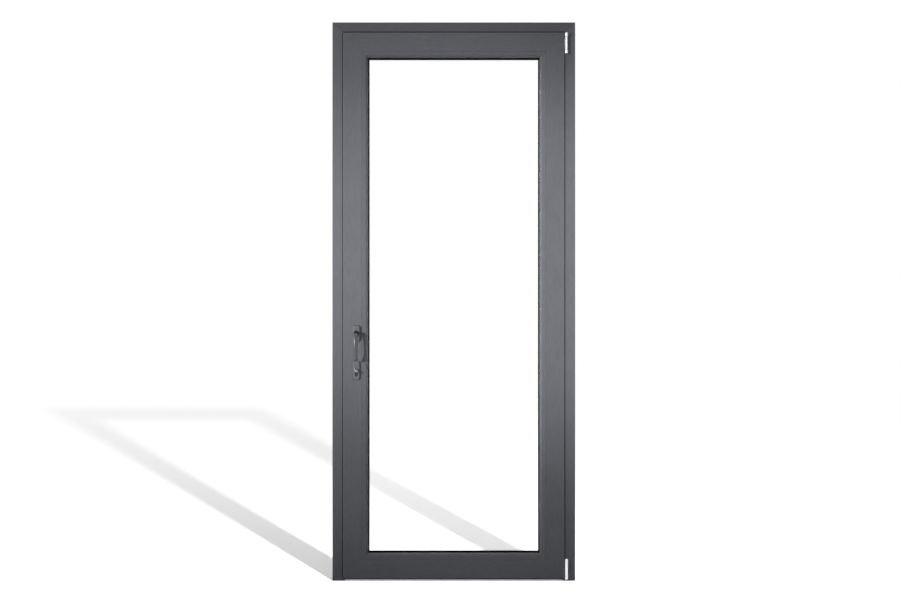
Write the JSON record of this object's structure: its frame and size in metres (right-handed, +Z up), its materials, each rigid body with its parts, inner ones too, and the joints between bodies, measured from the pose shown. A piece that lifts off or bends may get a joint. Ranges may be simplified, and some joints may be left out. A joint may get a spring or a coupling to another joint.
{
  "type": "pvc casement window",
  "caption": "Full-height glazed PVC casement with its outer frame and low threshold; the sash turns inwards on barrel hinges and has a lever handle and a lock cylinder.",
  "frame": {"origin": "on the floor plane, at the middle of the outer frame's width and depth", "axes": "+X towards the hinge side seen from the room, +Y from the room to the outside, +Z up"},
  "size_m": [1, 0.154, 2.3],
  "materials": {
    "foiled_pvc": "matt grey foil on PVC",
    "galvanised_steel": "galvanised",
    "black_rubber": "matt",
    "clear_glass": "clear float",
    "mill_aluminium": "anodised",
    "black_plastic": "moulded",
    "silver_hinge": "satin silver",
    "zinc_hardware": "bright zinc",
    "coated_handle": "satin powder coat",
    "nickel_brass": "satin nickel"
  },
  "bodies": {
    "frame": {"frame_head": "foiled_pvc", "frame_jamb_lock_side": "foiled_pvc", "frame_jamb_hinge_side": "foiled_pvc", "head_reinforcement": "galvanised_steel", "lock_jamb_reinforcement": "galvanised_steel", "hinge_jamb_reinforcement": "galvanised_steel", "jamb_foot_pads": "black_plastic", "frame_gasket": "black_rubber", "threshold_cover": "mill_aluminium", "threshold_base": "black_plastic", "striker_plates": "zinc_hardware", "frame_hardware_screws": "zinc_hardware", "top_hinge_frame_leaf": "silver_hinge", "top_hinge_pin": "silver_hinge", "bottom_hinge_bearing": "silver_hinge", "bottom_hinge_pin": "silver_hinge"},
    "sash": {"sash_lock_stile": "foiled_pvc", "sash_hinge_stile": "foiled_pvc", "sash_top_rail": "foiled_pvc", "sash_bottom_rail": "foiled_pvc", "lock_stile_reinforcement": "galvanised_steel", "hinge_stile_reinforcement": "galvanised_steel", "top_rail_reinforcement": "galvanised_steel", "bottom_rail_reinforcement": "galvanised_steel", "glazing_bead_lock_side": "foiled_pvc", "glazing_bead_hinge_side": "foiled_pvc", "glazing_bead_top": "foiled_pvc", "glazing_bead_bottom": "foiled_pvc", "sash_gasket": "black_rubber", "glazing_gasket_inner": "black_rubber", "glazing_gasket_outer": "black_rubber", "inner_pane": "clear_glass", "outer_pane": "clear_glass", "spacer_frame": "mill_aluminium", "edge_sealant": "black_rubber", "glazing_packers": "black_plastic", "drip_rail": "foiled_pvc", "top_hinge_sash_leaf": "silver_hinge", "bottom_hinge_sash_leaf": "silver_hinge", "hinge_sash_screws": "zinc_hardware", "faceplate": "zinc_hardware", "faceplate_screws": "zinc_hardware", "lock_case": "galvanised_steel", "neck_bush": "black_plastic", "rosette_base": "black_plastic", "rosette_cover": "coated_handle", "rosette_screws": "zinc_hardware", "cylinder_body": "nickel_brass", "cylinder_screw": "galvanised_steel", "lock_escutcheon_room": "coated_handle", "lock_escutcheon_outside": "coated_handle"},
    "handle": {"handle_lever": "coated_handle", "handle_spindle": "galvanised_steel", "drive_pinion": "galvanised_steel"},
    "drive_rod": {"drive_rod": "zinc_hardware", "locking_cams": "zinc_hardware"},
    "thumb_turn": {"thumb_turn": "coated_handle", "room_plug": "nickel_brass", "cylinder_cam": "nickel_brass"},
    "outside_plug": {"outside_plug": "nickel_brass"}
  },
  "joints": [
    {"name": "sash_turn", "type": "hinge", "parent": "frame", "child": "sash", "pos_m": [0.463, -0.0475, 1.15], "axis": [0, 0, 1], "range_deg": [0, 170]},
    {"name": "handle_turn", "type": "hinge", "parent": "sash", "child": "handle", "pos_m": [-0.401, -0.0535, 1.02], "axis": [0, -1, 0], "range_deg": [0, 90]},
    {"name": "rod_slide", "type": "slide", "parent": "sash", "child": "drive_rod", "axis": [0, 0, -1], "range_m": [0, 0.01886]},
    {"name": "thumb_turn_spin", "type": "hinge", "parent": "sash", "child": "thumb_turn", "pos_m": [-0.401, -0.0535, 0.868], "axis": [0, -1, 0], "continuous": true},
    {"name": "outside_plug_spin", "type": "hinge", "parent": "sash", "child": "outside_plug", "pos_m": [-0.401, 0.02, 0.868], "axis": [0, 1, 0], "continuous": true}
  ],
  "couplings": [
    {"joint": "rod_slide", "follows": "handle_turn", "m_per_rad": 0.012}
  ]
}
